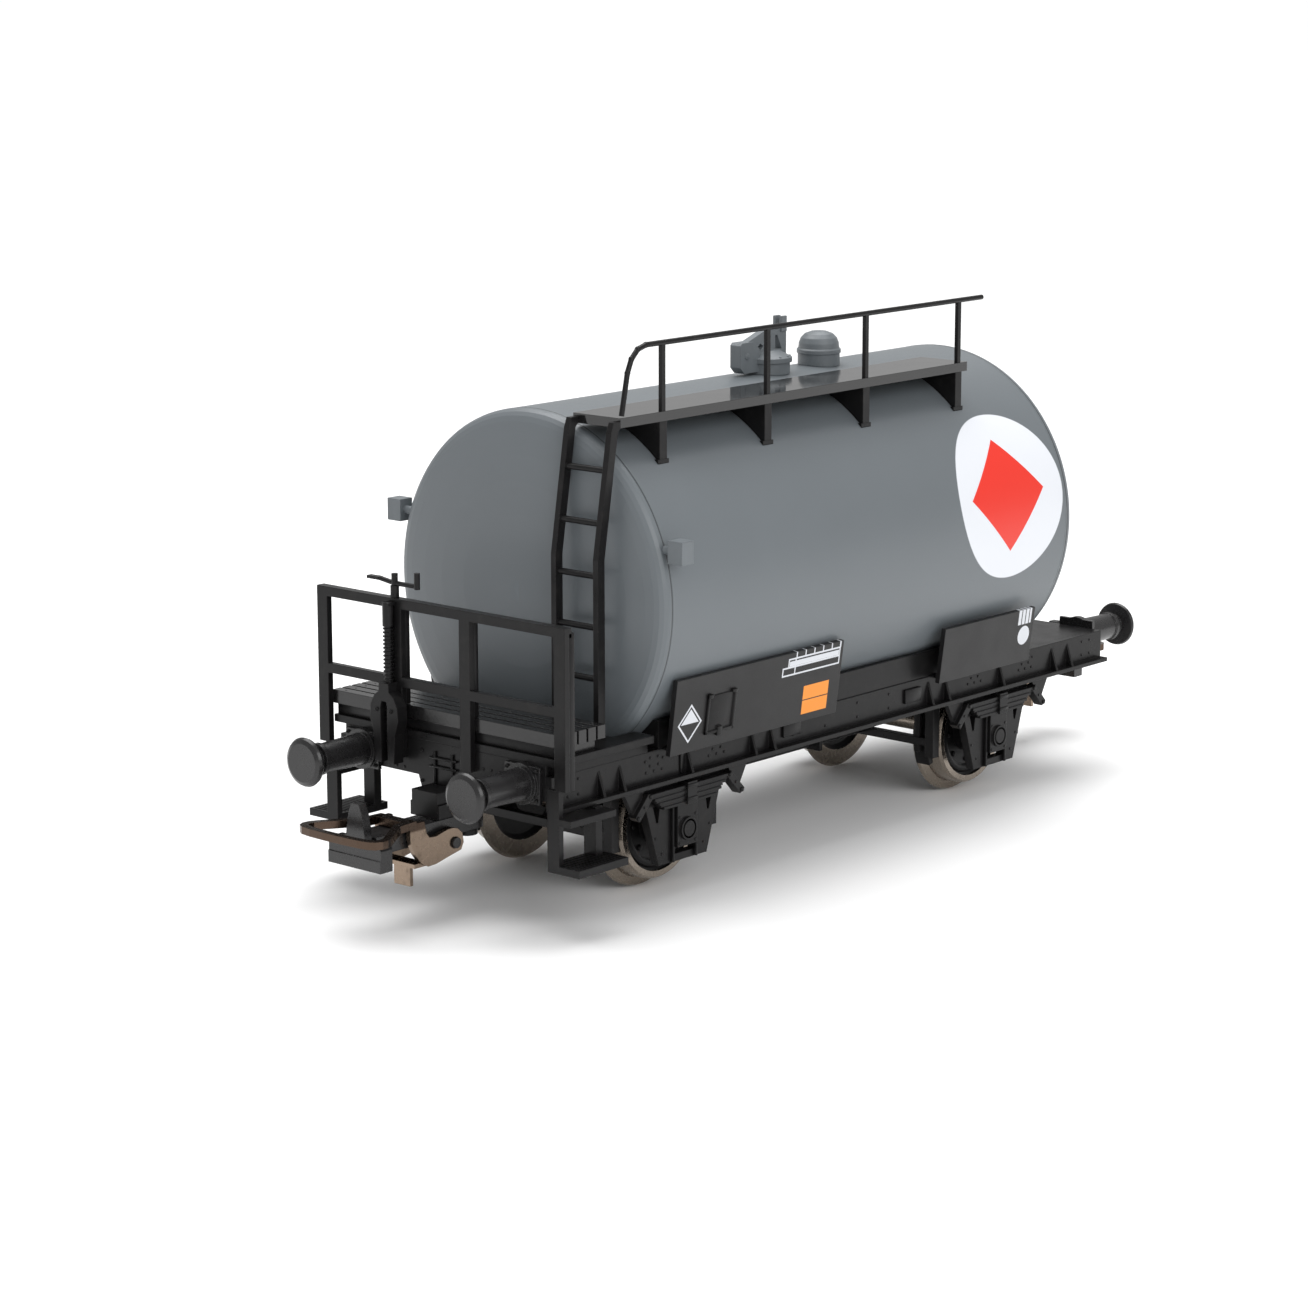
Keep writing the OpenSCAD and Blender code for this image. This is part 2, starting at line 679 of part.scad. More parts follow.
module coupler_loop() {
  w = loop_w / 2;
  z1 = shank_z + 0.95;
  x1 = head_x + 4.1;
  color("tan") {
    translate([0, 0, z1]) linear_extrude(wire_d) difference() {
      polygon([[x1 - 8.2, 2.25], [x1 - 6, 2.45], [x1 - 2.6, w - 0.35], [x1 - 1.9, w - 0.05],
        [x1 - 1.2, w], [x1 - 0.6, w - 0.3], [x1 - 0.25, w - 0.9], [x1 - 0.08, w - 2.1], [x1, 1.2],
        [x1, -1.2], [x1 - 0.08, 2.1 - w], [x1 - 0.25, 0.9 - w], [x1 - 0.6, 0.3 - w], [x1 - 1.2, -w],
        [x1 - 1.9, 0.05 - w], [x1 - 2.6, 0.35 - w], [x1 - 6, -2.45], [x1 - 8.2, -2.25]]);
      polygon([[x1 - 7, 1.6], [x1 - 5.8, 1.7], [x1 - 2.5, w - 1.15], [x1 - 1.9, w - 0.8],
        [x1 - 1.3, w - 0.75], [x1 - 1, w - 1], [x1 - 0.85, w - 1.6], [x1 - 0.75, w - 2.6],
        [x1 - wire_d, 1.2], [x1 - wire_d, -1.2], [x1 - 0.75, 2.6 - w], [x1 - 0.85, 1.6 - w],
        [x1 - 1, 1 - w], [x1 - 1.3, 0.75 - w], [x1 - 1.9, 0.8 - w], [x1 - 2.5, 1.15 - w],
        [x1 - 5.8, -1.7], [x1 - 7, -1.6]]);
    }
    for (s = [-1, 1]) {
      translate([0, s * 2 + 0.25, 0]) rotate([90, 0, 0]) linear_extrude(0.5) difference() {
        translate([eye_x, eye_z]) polygon([[-1.08, -0.15], [-0.75, -0.8], [0.8, -1.12],
          [2.5, -1.5], [3.5, -1.53], [4.1, -1.25], [4.6, -0.8], [5.14, -0.1], [5.54, 0.71],
          [5.7, 1.47], [5.7, z1 + 0.5 - eye_z], [3.93, z1 + 0.5 - eye_z], [3.61, 1.53],
          [3.29, 1.12], [2.45, 1.06], [0.93, 1.4], [0.3, 1.42], [-0.3, 1.28], [-0.92, 0.74]]);
        translate([eye_x, eye_z]) circle(d = 1.1);
      }
    }
    translate([eye_x + 3.6, -2, eye_z - 1.5]) cube([1.4, 4, 0.4]);
    translate([eye_x + 4.2, -1, rail + 2.6]) cube([0.4, 2, eye_z - 1.3 - rail - 2.6]);
  }
}

module coupler_loop_rear() {
  coupler_loop();
}

module coupler_loop_front() {
  mirror([1, 0, 0]) coupler_loop();
}

module wheel_axle(x) {
  l = 2 * guard_y + 2 * 1.2;
  color("silver") translate([x, -l / 2, axle_z]) rotate([-90, 0, 0]) rotate_extrude($fn = 32) polygon([
    [0, 0], [journal_d / 2 - 0.2, 0], [journal_d / 2, 0.2], [journal_d / 2, 1.7],
    [axle_d / 2, 1.9], [axle_d / 2, l - 1.9], [journal_d / 2, l - 1.7],
    [journal_d / 2, l - 0.2], [journal_d / 2 - 0.2, l], [0, l]]);
}

module wheel_centres(x) {
  color("black") for (s = [-1, 1]) {
    translate([x, 0, axle_z]) rotate([s * 90, 0, 0]) rotate_extrude() polygon([
      [axle_d / 2, back_gap / 2 - 0.4], [1.9, back_gap / 2 - 0.4], [2.1, back_gap / 2 + 0.6],
      [tread_r - 1.3, back_gap / 2 + 0.5], [tread_r - 0.8, back_gap / 2 + 0.2],
      [tread_r - 0.8, back_gap / 2 + tyre_w - 0.3], [tread_r - 1.3, back_gap / 2 + tyre_w - 0.6],
      [2.1, back_gap / 2 + tyre_w - 0.7], [1.9, back_gap / 2 + tyre_w + 0.3],
      [axle_d / 2, back_gap / 2 + tyre_w + 0.3]]);
  }
}

module wheel_tyres(x) {
  color("silver") for (s = [-1, 1]) {
    translate([x, 0, axle_z]) rotate([s * 90, 0, 0]) rotate_extrude($fn = 64) polygon([
      [tread_r - 0.8, back_gap / 2], [tread_r + flange_h - 0.25, back_gap / 2],
      [tread_r + flange_h, back_gap / 2 + 0.3], [tread_r + flange_h - 0.15, back_gap / 2 + 0.55],
      [tread_r + 0.1, back_gap / 2 + 0.85], [tread_r - 0.05, back_gap / 2 + tyre_w - 0.3],
      [tread_r - 0.25, back_gap / 2 + tyre_w], [tread_r - 0.8, back_gap / 2 + tyre_w]]);
  }
}

module wheelset_front_axle() {
  wheel_axle(-axle_x);
}

module wheelset_front_centres() {
  wheel_centres(-axle_x);
}

module wheelset_front_tyres() {
  wheel_tyres(-axle_x);
}

module wheelset_rear_axle() {
  wheel_axle(axle_x);
}

module wheelset_rear_centres() {
  wheel_centres(axle_x);
}

module wheelset_rear_tyres() {
  wheel_tyres(axle_x);
}

tank_shell();
tank_end_front();
tank_end_rear();
manhole_hatch();
vent_dome();
lamp_brackets();
tank_cradle();
walkway_deck();
walkway_brackets();
walkway_handrail();
ladder();
frame_floor();
sole_bar_left();
sole_bar_right();
headstock_front();
headstock_rear();
end_plate();
platform_deck();
end_railing();
brake_column();
brake_crank();
steps_left();
steps_right();
axle_guards_left();
axle_guards_right();
leaf_springs_left();
leaf_springs_right();
number_boards_left();
number_boards_right();
buffers_front();
buffers_rear();
brake_gear_front();
brake_gear_rear();
air_reservoir();
coupler_pocket_front();
coupler_pocket_rear();
coupler_front();
coupler_rear();
coupler_loop_front();
coupler_loop_rear();
wheelset_front_axle();
wheelset_front_centres();
wheelset_front_tyres();
wheelset_rear_axle();
wheelset_rear_centres();
wheelset_rear_tyres();
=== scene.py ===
"""Finishes and fine details for a small two-axle tank wagon with an end platform."""

import json
import math

import bmesh
import bpy
from mathutils import Matrix, Vector


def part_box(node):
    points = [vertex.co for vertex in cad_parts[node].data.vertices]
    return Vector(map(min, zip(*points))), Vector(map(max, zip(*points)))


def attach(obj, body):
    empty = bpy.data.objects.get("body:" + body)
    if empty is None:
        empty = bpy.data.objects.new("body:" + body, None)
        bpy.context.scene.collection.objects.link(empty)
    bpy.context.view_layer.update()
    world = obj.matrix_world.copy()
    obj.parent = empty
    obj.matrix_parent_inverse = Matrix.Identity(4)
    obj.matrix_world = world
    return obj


bl_info = {
    "name": "Tank Wagon Details",
    "version": (1, 0, 0),
    "blender": (4, 5, 0),
    "location": "View3D > Sidebar > Tank Wagon",
    "description": "Adds rivets, fittings and finishes to a two-axle tank wagon",
    "category": "Object",
}

MM = 0.001
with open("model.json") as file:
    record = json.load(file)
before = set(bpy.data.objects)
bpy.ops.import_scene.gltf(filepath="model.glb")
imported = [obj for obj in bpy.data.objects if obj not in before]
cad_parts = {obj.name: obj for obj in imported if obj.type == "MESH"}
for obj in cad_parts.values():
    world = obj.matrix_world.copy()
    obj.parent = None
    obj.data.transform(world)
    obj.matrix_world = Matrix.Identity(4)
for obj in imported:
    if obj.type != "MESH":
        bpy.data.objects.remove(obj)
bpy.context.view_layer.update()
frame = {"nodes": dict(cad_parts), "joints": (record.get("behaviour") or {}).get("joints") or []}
NODES = frame["nodes"]


def span(node):
    """Lowest and highest corner of a node, in millimetres."""
    lo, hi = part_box(node)
    return lo / MM, hi / MM


BARREL_LO, BARREL_HI = span("tank_shell")
TANK_R = (BARREL_HI.y - BARREL_LO.y) / 2
TANK_Z = BARREL_HI.z - TANK_R
FRAME_LO, FRAME_HI = span("sole_bar_right")
WHEEL_LO, WHEEL_HI = span("wheelset_front_tyres")
AXLE_X = -(WHEEL_LO.x + WHEEL_HI.x) / 2
AXLE_Z = (WHEEL_LO.z + WHEEL_HI.z) / 2

# places that no node's box gives, in millimetres
HATCH_X = 3.1
HATCH_BOLT_R = 2.2
VENT_X = 11.2
VENT_BOLT_R = 2.12
BUFFER_Y = 10.1
BRAKE_Y = 5.75
BOARD_LEAN = math.radians(7.5)

# the round mark on the barrel, in millimetres
MARK_R = 8.6
MARK_UP = 4.0
LOZENGE_R = 5.6

# the camera, in metres, with the lens in millimetres on a 36 mm sensor
CAMERA_AT = (-0.26642, -0.22091, 0.09085)
CAMERA_AIM = (-0.013776, 0.0, 0.019265)
CAMERA_LENS = 98.302
CAMERA_ROLL = math.radians(-0.05)


# ---------------------------------------------------------------- node finishes


class Field:
    """A number that changes over a surface; arithmetic on it adds Math nodes."""

    def __init__(self, finish, socket):
        self.finish = finish
        self.socket = socket

    def _math(self, operation, *values):
        node = self.finish.node("ShaderNodeMath", {"operation": operation}, *values)
        return Field(self.finish, node.outputs[0])

    def __add__(self, other):
        return self._math("ADD", self, other)

    __radd__ = __add__

    def __sub__(self, other):
        return self._math("SUBTRACT", self, other)

    def __rsub__(self, other):
        return self._math("SUBTRACT", other, self)

    def __mul__(self, other):
        return self._math("MULTIPLY", self, other)

    __rmul__ = __mul__

    def __truediv__(self, other):
        return self._math("DIVIDE", self, other)

    def __abs__(self):
        return self._math("ABSOLUTE", self)

    def __lt__(self, other):
        return self._math("LESS_THAN", self, other)

    def __gt__(self, other):
        return self._math("GREATER_THAN", self, other)

    def most(self, other):
        return self._math("MAXIMUM", self, other)

    def root(self):
        return self._math("SQRT", self)

    def fraction(self):
        return self._math("FRACT", self)

    def angle(self, other):
        return self._math("ARCTAN2", self, other)

    def ramp(self, low, high):
        """0 below low, 1 above high, smooth between."""
        node = self.finish.node(
            "ShaderNodeMapRange",
            {"interpolation_type": "SMOOTHSTEP"},
            self, low, high, 0.0, 1.0,
        )
        return Field(self.finish, node.outputs[0])


class Finish:
    """One material with a Principled shader, built a node at a time."""

    def __init__(self, name, metallic=0.0, roughness=0.5, coat=0.0, specular=0.5):
        self.material = bpy.data.materials.new(name)
        self.material.use_nodes = True
        self.tree = self.material.node_tree
        self.tree.nodes.clear()
        out = self.tree.nodes.new("ShaderNodeOutputMaterial")
        self.shader = self.tree.nodes.new("ShaderNodeBsdfPrincipled")
        self.tree.links.new(self.shader.outputs[0], out.inputs[0])
        self.put("Metallic", metallic)
        self.put("Roughness", roughness)
        self.put("Coat Weight", coat)
        self.put("Coat Roughness", 0.25)
        self.put("Specular IOR Level", specular)
        self._place = None

    def put(self, socket, value):
        self._feed(self.shader.inputs[socket], value)

    def _feed(self, socket, value):
        if isinstance(value, Field):
            value = value.socket
        if isinstance(value, bpy.types.NodeSocket):
            self.tree.links.new(value, socket)
        else:
            socket.default_value = value

    def node(self, kind, settings=None, *values, **named):
        made = self.tree.nodes.new(kind)
        for key, value in (settings or {}).items():
            setattr(made, key, value)
        for i, value in enumerate(values):
            if value is not None:
                self._feed(made.inputs[i], value)
        for key, value in named.items():
            self._feed(made.inputs[key.replace("_", " ")], value)
        return made

    @property
    def place(self):
        if self._place is None:
            self._place = self.node("ShaderNodeTexCoord").outputs["Object"]
        return self._place

    def axes(self):
        """x, y and z of the surface point in millimetres."""
        parts = self.node("ShaderNodeSeparateXYZ", None, self.place)
        return [Field(self, parts.outputs[i]) * (1 / MM) for i in range(3)]

    def noise(self, period, detail=2.0, stretch=(1, 1, 1)):
        """Cloudy noise from 0 to 1 with features about period millimetres wide."""
        where = self.place
        if stretch != (1, 1, 1):
            scaled = self.node("ShaderNodeVectorMath", {"operation": "MULTIPLY"}, where, stretch)
            where = scaled.outputs[0]
        scale = 1 / (period * MM)
        made = self.node("ShaderNodeTexNoise", None, Vector=where, Scale=scale, Detail=detail)
        return Field(self, made.outputs[0])

    def mix(self, factor, low, high):
        made = self.node("ShaderNodeMix", {"data_type": "RGBA"})
        self._feed(made.inputs[0], factor)
        self._feed(made.inputs[6], low)
        self._feed(made.inputs[7], high)
        return made.outputs[2]

    def relief(self, height, depth, edge=0.0):
        """Bump of depth millimetres, over edges rounded by edge millimetres."""
        bump = self.node("ShaderNodeBump", None, Strength=1.0, Distance=depth * MM, Height=height)
        if edge:
            soft = self.node("ShaderNodeBevel", {"samples": 4}, edge * MM)
            self._feed(bump.inputs["Normal"], soft.outputs[0])
        self.put("Normal", bump.outputs[0])


def rgba(colour, k=1.0):
    return (colour[0] * k, colour[1] * k, colour[2] * k, 1.0)


def plastic(name, colour, roughness=0.34, grain=0.16, depth=0.003, edge=0.1, dust=0.15, shine=0.2):
    """Moulded plastic: faint cloudiness, fine grain, softened edges and a little dust."""
    f = Finish(name, roughness=roughness, specular=shine)
    cloud = f.noise(2.4, 3.0)
    speck = f.noise(grain, 2.0)
    settle = (f.noise(1.1, 4.0) - 0.52).ramp(0.0, 0.25) * dust
    tone = f.mix(cloud, rgba(colour, 0.82), rgba(colour, 1.2))
    tone = f.mix(settle * 0.12, tone, (0.30, 0.28, 0.25, 1.0))
    f.put("Base Color", tone)
    f.put("Roughness", (cloud - 0.5) * 0.18 + (speck - 0.5) * 0.1 + roughness + settle * 0.15)
    f.relief(speck + cloud * 0.5, depth, edge)
    return f


def metal(name, colour, roughness=0.3, streak=(1, 1, 1), tarnish=(0.10, 0.08, 0.06)):
    """Turned or stamped metal with fine tool marks and light tarnish."""
    f = Finish(name, metallic=1.0, roughness=roughness)
    cloud = f.noise(1.5, 4.0)
    marks = f.noise(0.35, 3.0, streak)
    stain = (cloud - 0.5).ramp(0.05, 0.3) * 0.3
    tone = f.mix(marks, rgba(colour, 0.85), rgba(colour, 1.1))
    f.put("Base Color", f.mix(stain, tone, rgba(tarnish)))
    f.put("Roughness", marks * 0.16 + stain * 0.25 + (roughness - 0.08))
    f.relief(marks, 0.0015, 0.05)
    return f


def tank_paint(name, colour, mark_x=None, red=None, white=None):
    """Sprayed satin grey, darkened towards the bottom by painted shade, with a dark line at each end seam
    and, if asked, a round painted mark.
    """
    f = Finish(name, roughness=0.42, specular=0.5)
    x, y, z = f.axes()
    cloud = f.noise(9.0, 3.0)
    spray = f.noise(0.22, 2.0)
    # painted shade: the lower part of the tank is mixed towards a darker grey, as if less light reached
    # it
    low = (z * -1.0).ramp(-(TANK_Z - 0.6 * TANK_R), -(TANK_Z - TANK_R))
    tone = f.mix(cloud, rgba(colour, 0.95), rgba(colour, 1.06))
    tone = f.mix(low * 0.25, tone, rgba(colour, 0.6))
    rough = (spray - 0.5) * 0.12 + (cloud - 0.5) * 0.06 + 0.40
    if mark_x is not None:
        # distance along the barrel and round it from the middle of the mark
        turn = (z - TANK_Z).angle(y * -1.0) * TANK_R - MARK_UP
        along = x - mark_x
        far = (along * along + turn * turn).root()
        disc = 1.0 - far.ramp(MARK_R - 0.05, MARK_R + 0.05)
        reach = abs(along + 0.6) * 0.94 + abs(turn) * 0.98
        lozenge = 1.0 - reach.ramp(LOZENGE_R, LOZENGE_R + 0.1)
        tone = f.mix(disc, tone, rgba(white))
        tone = f.mix(disc * lozenge, tone, rgba(red))
        rough = rough - disc * 0.06
    middle = (BARREL_LO.x + BARREL_HI.x) / 2
    half = (BARREL_HI.x - BARREL_LO.x) / 2
    seam = 1.0 - abs(abs(x - middle) - half).ramp(0.04, 0.12)
    tone = f.mix(seam * 0.75, tone, rgba(colour, 0.12))
    f.put("Base Color", tone)
    f.put("Roughness", rough)
    f.relief(spray - seam * 6.0, 0.004, 0.0)
    return f


def board_paint(name, colour, white, orange):
    """Black number boards whose plates, grid and diamond are painted on and left blank."""
    f = Finish(name, roughness=0.4, specular=0.4)
    x, y, z = f.axes()
    cloud = f.noise(2.4, 3.0)
    speck = f.noise(0.15, 2.0)
    tone = f.mix(cloud, rgba(colour, 0.85), rgba(colour, 1.2))

    def area(x0, x1, z0, z1):
        return (x > x0) * (x < x1) * (z > z0) * (z < z1)

    def outline(x0, x1, z0, z1, w=0.16):
        return (area(x0, x1, z0, z1) - area(x0 + w, x1 - w, z0 + w, z1 - w)).most(0.0)

    # table of three rows, the middle one filled, with upright lines in the top row
    table_end, column = -4.9, 1.32
    lines = outline(-13.5, table_end, 19.1, 20.0)
    lines = lines.most(outline(-12.7, table_end, 19.85, 20.8))
    lines = lines.most(outline(-11.6, table_end, 20.65, 21.7))
    lines = lines.most(area(-12.5, -5.1, 20.02, 20.5))
    for i in range(1, 6):
        lines = lines.most(area(-11.6 + column * i, -11.45 + column * i, 20.7, 21.7))
    lines = lines.most(area(-11.7, -11.55, 19.1, 20.7))
    # diamond with its upper half filled
    reach = abs(x + 26.35) / 1.68 + abs(z - 16.95) / 1.86
    diamond = (reach < 1.0) - (reach < 0.86)
    upper = (reach < 0.74) * (z > 16.95)
    lines = lines.most(diamond).most(upper)
    # block of upright bars over a filled disc, on the small board
    bars = (x * 1.6).fraction() > 0.22
    lines = lines.most(area(24.5, 26.7, 18.2, 20.0) * bars)
    dx, dz = x - 25.7, z - 17.0
    lines = lines.most((dx * dx + dz * dz).root() < 0.98)
    # the marks are on one side of the wagon only
    side = y < 0.0
    plate = (-9.95, -6.15)
    tone = f.mix(lines * side, tone, rgba(white, 0.9))
    tone = f.mix(area(*plate, 14.9, 17.7) * side, tone, rgba(orange))
    tone = f.mix(area(*plate, 16.25, 16.35) * side, tone, rgba(colour, 1.5))
    f.put("Base Color", tone)
    f.put("Roughness", (cloud - 0.5) * 0.18 + (speck - 0.5) * 0.1 + 0.46)
    f.relief(speck + lines * 0.5, 0.006, 0.06)
    return f


def loop_finish(name, colour, black):
    """Stamped coupler loop: the flat ring is blackened, the side plates are left bronze."""
    f = Finish(name, roughness=0.34, metallic=1.0)
    z = f.axes()[2]
    cloud = f.noise(1.2, 4.0)
    marks = f.noise(0.3, 3.0, (1, 3, 1))
    ring = z.ramp(8.9, 9.15)
    tone = f.mix(marks, rgba(colour, 0.8), rgba(colour, 1.1))
    tone = f.mix((cloud - 0.5).ramp(0.05, 0.25) * 0.5, tone, rgba(colour, 0.35))
    dark = (black[0] + 0.05, black[1] + 0.03, black[2] + 0.02)
    f.put("Base Color", f.mix(ring * 0.88, tone, rgba(dark)))
    f.put("Roughness", marks * 0.15 + 0.18)
    f.relief(marks, 0.004, 0.05)
    return f


# ---------------------------------------------------------------- shapes in millimetres


def turn_to(axis):
    """Rotation that takes +Z to axis."""
    return Vector((0, 0, 1)).rotation_difference(Vector(axis)).to_matrix().to_4x4()


def block(bm, lo, hi, bevel=0.06, turn=None, at=None):
    """A box with rounded edges; turn is a rotation about at."""
    lo, hi = Vector(lo), Vector(hi)
    size, mid = hi - lo, (lo + hi) / 2
    matrix = Matrix.Translation(mid) @ Matrix.Diagonal((*size, 1.0))
    if turn is not None:
        pivot = Vector(at if at is not None else mid)
        matrix = Matrix.Translation(pivot) @ turn.to_4x4() @ Matrix.Translation(-pivot) @ matrix
    made = bmesh.ops.create_cube(bm, size=1.0, matrix=matrix)
    if bevel:
        edges = list({e for v in made["verts"] for e in v.link_edges})
        bmesh.ops.bevel(
            bm, geom=edges, offset=min(bevel, min(size) * 0.3), offset_type="OFFSET",
            affect="EDGES", segments=2, profile=0.5, material=-1,
        )


def slab(bm, xs, ys, zs, bevel=0.06):
    """A block between two values on each axis, given in either order."""
    lo, hi = zip(*(sorted(pair) for pair in (xs, ys, zs)))
    block(bm, lo, hi, bevel)


def pin(bm, a, b, r, sides=20, bevel=0.05):
    """A round bar from a to b with softened ends."""
    a, b = Vector(a), Vector(b)
    matrix = Matrix.Translation((a + b) / 2) @ turn_to(b - a)
    made = bmesh.ops.create_cone(
        bm, cap_ends=True, cap_tris=False, segments=sides,
        radius1=r, radius2=r, depth=(b - a).length, matrix=matrix,
    )
    if bevel:
        caps = {f for v in made["verts"] for f in v.link_faces if len(f.verts) == sides}
        edges = list({e for f in caps for e in f.edges})
        bmesh.ops.bevel(
            bm, geom=edges, offset=bevel, offset_type="OFFSET",
            affect="EDGES", segments=2, profile=0.5, material=-1,
        )


def rivet(bm, at, axis, r=0.16):
    """A low round head standing on a surface."""
    axis = Vector(axis).normalized()
    base = Vector(at) - axis * 0.03
    matrix = Matrix.Translation(base + axis * (r * 0.35)) @ turn_to(axis)
    made = bmesh.ops.create_cone(
        bm, cap_ends=True, cap_tris=False, segments=10,
        radius1=r, radius2=r * 0.86, depth=r * 0.7, matrix=matrix,
    )
    tops = [f for v in made["verts"] for f in v.link_faces if len(f.verts) == 10]
    top = max(set(tops), key=lambda f: f.calc_center_median().dot(axis))
    bmesh.ops.bevel(
        bm, geom=list(top.edges), offset=r * 0.3, offset_type="OFFSET",
        affect="EDGES", segments=2, profile=0.5, material=-1,
    )


def hex_nut(bm, at, axis, r=0.3, h=0.3):
    """A six-sided nut with a stud end."""
    axis = Vector(axis).normalized()
    at = Vector(at)
    pin(bm, at - axis * 0.03, at + axis * h, r, sides=6, bevel=0.04)
    pin(bm, at, at + axis * (h + 0.14), r * 0.45, sides=10, bevel=0.03)


def lathe(bm, centre, axis, profile, steps=48):
    """Spins (radius, height) points round an axis through centre; the profile is a closed loop."""
    matrix = Matrix.Translation(Vector(centre)) @ turn_to(axis)
    verts = [bm.verts.new(matrix @ Vector((r, 0, h))) for r, h in profile]
    edges = [bm.edges.new((verts[i - 1], verts[i])) for i in range(len(verts))]
    bmesh.ops.spin(
        bm, geom=verts + edges, cent=Vector(centre), axis=Vector(axis).normalized(),
        dvec=(0, 0, 0), angle=math.tau, steps=steps, use_merge=True, use_duplicate=False,
    )


def piece(name, bm, body, finish, crease=35.0):
    """Turns a bmesh in millimetres into a piece that rides on a body."""
    bmesh.ops.remove_doubles(bm, verts=bm.verts, dist=1e-4)
    bmesh.ops.recalc_face_normals(bm, faces=bm.faces)
    bmesh.ops.scale(bm, vec=(MM, MM, MM), verts=bm.verts)
    mesh = bpy.data.meshes.new(name)
    bm.to_mesh(mesh)
    bm.free()
    mesh.polygons.foreach_set("use_smooth", [True] * len(mesh.polygons))
    mesh.set_sharp_from_angle(angle=math.radians(crease))
    obj = bpy.data.objects.new(name, mesh)
    bpy.context.scene.collection.objects.link(obj)
    obj.data.materials.append(finish)
    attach(obj, body)
    return obj


def dress(finish, *nodes):
    """Gives CAD nodes a finish."""
    for node in nodes:
        mesh = NODES[node].data
        mesh.materials.clear()
        mesh.materials.append(finish)


def stock(name):
    """A finish made earlier, by name."""
    made = bpy.data.materials.get(name)
    if made is None:
        raise RuntimeError(f"the finish {name} has not been made yet")
    return made


# ---------------------------------------------------------------- settings


class WagonColours(bpy.types.PropertyGroup):
    tank: bpy.props.FloatVectorProperty(
        name="Tank grey", description="Paint of the tank and its fittings",
        default=(0.122, 0.137, 0.148), subtype="COLOR", min=0.0, max=1.0)
    frame: bpy.props.FloatVectorProperty(
        name="Frame black", description="Plastic of the frame and platform",
        default=(0.0075, 0.0072, 0.0075), subtype="COLOR", min=0.0, max=1.0)
    steel: bpy.props.FloatVectorProperty(
        name="Bare steel", description="Wheel tyres and axles",
        default=(0.33, 0.285, 0.24), subtype="COLOR", min=0.0, max=1.0)
    bronze: bpy.props.FloatVectorProperty(
        name="Bronze", description="Side plates of the coupler loops",
        default=(0.27, 0.205, 0.155), subtype="COLOR", min=0.0, max=1.0)
    copper: bpy.props.FloatVectorProperty(
        name="Copper", description="Bolt ends of the brake hangers",
        default=(0.62, 0.30, 0.17), subtype="COLOR", min=0.0, max=1.0)
    white: bpy.props.FloatVectorProperty(
        name="Marking white", description="White of the painted marks",
        default=(0.68, 0.70, 0.74), subtype="COLOR", min=0.0, max=1.0)
    red: bpy.props.FloatVectorProperty(
        name="Marking red", description="Red of the painted mark",
        default=(0.70, 0.022, 0.008), subtype="COLOR", min=0.0, max=1.0)
    orange: bpy.props.FloatVectorProperty(
        name="Plate orange", description="Blank orange plate",
        default=(0.80, 0.27, 0.03), subtype="COLOR", min=0.0, max=1.0)


class WagonSizes(bpy.types.PropertyGroup):
    rivet_radius: bpy.props.FloatProperty(
        name="Rivet radius", description="Radius of a frame rivet, in millimetres",
        default=0.15, min=0.05, max=0.4, precision=3)
    seam_width: bpy.props.FloatProperty(
        name="Seam lip width", description="Width of the lip beside each tank seam, in millimetres",
        default=0.22, min=0.1, max=0.5, precision=3)
    mark_place: bpy.props.FloatProperty(
        name="Mark place", description="Middle of the painted mark along the wagon, in millimetres",
        default=22.0, min=-20.0, max=22.0, precision=2)


# ---------------------------------------------------------------- operators


class WAGON_OT_finishes(bpy.types.Operator):
    """Makes every finish and puts it on the frame, tank and running gear"""
    bl_idname = "wagon.finishes"
    bl_label = "Finishes"

    def execute(self, context):
        c = context.scene.wagon_colours
        s = context.scene.wagon_sizes
        paint = tank_paint("tank_paint", c.tank).material
        barrel = tank_paint("barrel_paint", c.tank, s.mark_place, c.red, c.white).material
        fitting = plastic("fitting_grey", c.tank, 0.42, shine=0.5).material
        black = plastic("frame_plastic", c.frame, 0.32).material
        gloss = plastic("walkway_plastic", c.frame, 0.1, depth=0.0006, edge=0.08,
                        dust=0.05, shine=0.7).material
        plank = plastic("plank_plastic", c.frame, 0.2, grain=0.3, depth=0.005, shine=0.5).material
        paler = tuple(k * 1.6 for k in c.frame)
        hook = plastic("hook_black", paler, 0.28, depth=0.002, shine=0.5).material
        metal("tyre_steel", c.steel, 0.26, (1, 4, 1))
        metal("copper_bolt", c.copper, 0.3)
        loop = loop_finish("loop_metal", c.bronze, c.frame).material
        board = board_paint("board_paint", c.frame, c.white, c.orange).material
        looks = (
            (barrel, ("tank_shell",)),
            (paint, ("tank_end_front", "tank_end_rear")),
            (fitting, ("manhole_hatch", "vent_dome", "lamp_brackets")),
            (gloss, ("walkway_deck",)),
            (board, ("number_boards_right", "number_boards_left")),
            (plank, ("platform_deck",)),
            (hook, ("coupler_front", "coupler_rear", "buffers_front", "buffers_rear")),
            (loop, ("coupler_loop_front", "coupler_loop_rear")),
            (stock("tyre_steel"), ("wheelset_front_tyres", "wheelset_rear_tyres",
                                   "wheelset_front_axle", "wheelset_rear_axle")),
        )
        for finish, nodes in looks:
            dress(finish, *nodes)
        dressed = {node for _, nodes in looks for node in nodes}
        dress(black, *[node for node in NODES if node not in dressed])
        return {"FINISHED"}


